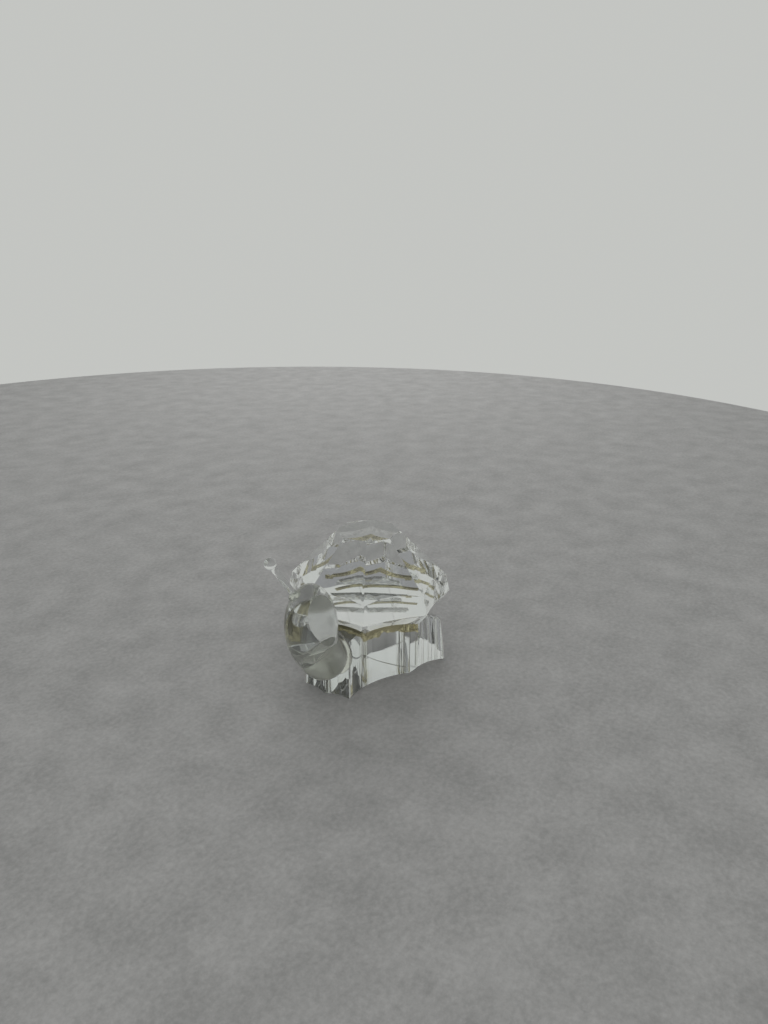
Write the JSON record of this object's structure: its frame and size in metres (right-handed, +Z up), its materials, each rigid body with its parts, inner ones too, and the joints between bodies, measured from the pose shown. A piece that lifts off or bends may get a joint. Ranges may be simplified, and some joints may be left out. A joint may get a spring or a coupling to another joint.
{
  "type": "snail figurine",
  "caption": "Cut-crystal snail: faceted glass shell glued on a scalloped foot and sloping tail, with a smooth drop head and one ball-tipped feeler.",
  "frame": {"origin": "on the table, on the upright axis of the shell", "axes": "+X where the snail's nose points, +Y its left side, +Z up"},
  "size_m": [0.0397, 0.0298, 0.029],
  "materials": {
    "crystal": "cut and polished clear crystal",
    "aged_resin": "clear adhesive, yellowed with age"
  },
  "bodies": {
    "root": {"foot_crystal": "crystal", "tail_crystal": "crystal", "shell_crystal": "crystal", "head_crystal": "crystal", "feeler": "crystal", "shell_bond": "aged_resin", "tail_bond": "aged_resin", "head_bond": "aged_resin", "feeler_bond": "aged_resin"}
  },
  "joints": []
}
